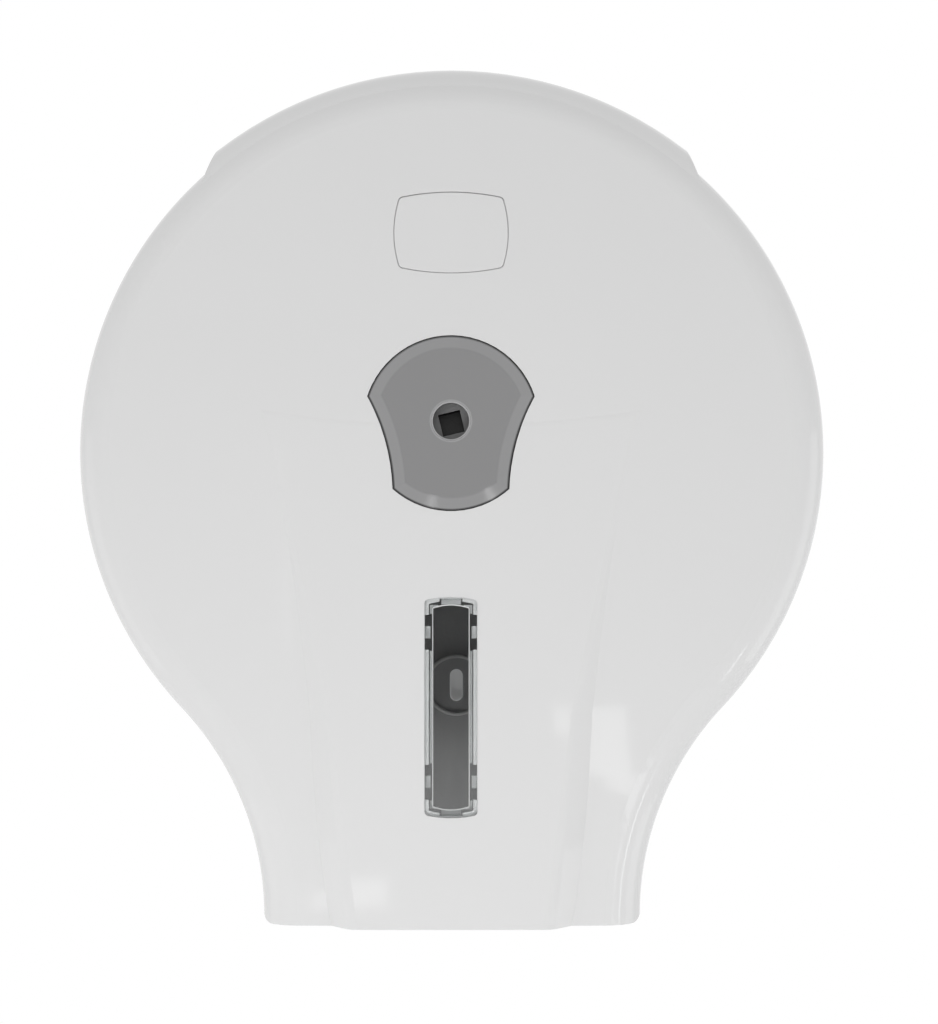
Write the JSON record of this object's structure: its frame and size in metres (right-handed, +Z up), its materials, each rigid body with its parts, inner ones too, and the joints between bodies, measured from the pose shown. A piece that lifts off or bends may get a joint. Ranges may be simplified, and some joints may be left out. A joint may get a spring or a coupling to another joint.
{
  "type": "jumbo toilet roll dispenser",
  "caption": "Wall-mounted round toilet roll dispenser: white case with a flared paper chute, clear level window, key-turned lock and a front cover hinged at the bottom.",
  "frame": {"origin": "centre of the round case on the wall face of the back plate", "axes": "+X to the right seen from the front, +Y into the wall, +Z up"},
  "size_m": [0.27, 0.1255, 0.3099],
  "materials": {
    "white_gloss_plastic": "glossy moulded white",
    "pale_plastic": "satin moulded pale grey",
    "grey_lock_plastic": "satin moulded grey",
    "clear_plastic": "clear polished",
    "dark_plastic": "satin dark grey",
    "zinc": "cast, dull",
    "steel": "plated"
  },
  "bodies": {
    "back": {"back_plate": "pale_plastic", "spindle": "pale_plastic", "spindle_screws": "steel", "spindle_keeper": "pale_plastic", "keeper_screws": "steel", "hinge_pin_left": "steel", "hinge_pin_right": "steel"},
    "cover": {"front_cover": "white_gloss_plastic", "window_lens": "clear_plastic", "badge_plate": "white_gloss_plastic", "lock_plate": "grey_lock_plastic", "lock_plate_screws": "steel", "lock_housing": "grey_lock_plastic", "lock_housing_screws": "steel", "tear_strip_left": "steel", "tear_strip_right": "steel", "tear_strip_rivets": "steel"},
    "lock": {"lock_barrel": "dark_plastic", "latch_tongue": "zinc", "latch_washer": "steel", "latch_screw": "steel"}
  },
  "joints": [
    {"name": "cover_hinge", "type": "hinge", "parent": "back", "child": "cover", "pos_m": [0, -0.0105, -0.1614], "axis": [1, 0, 0], "range_deg": [0, 90]},
    {"name": "lock_turn", "type": "hinge", "parent": "cover", "child": "lock", "pos_m": [0, -0.116, 0.0099], "axis": [0, 1, 0], "range_deg": [0, 90]}
  ]
}
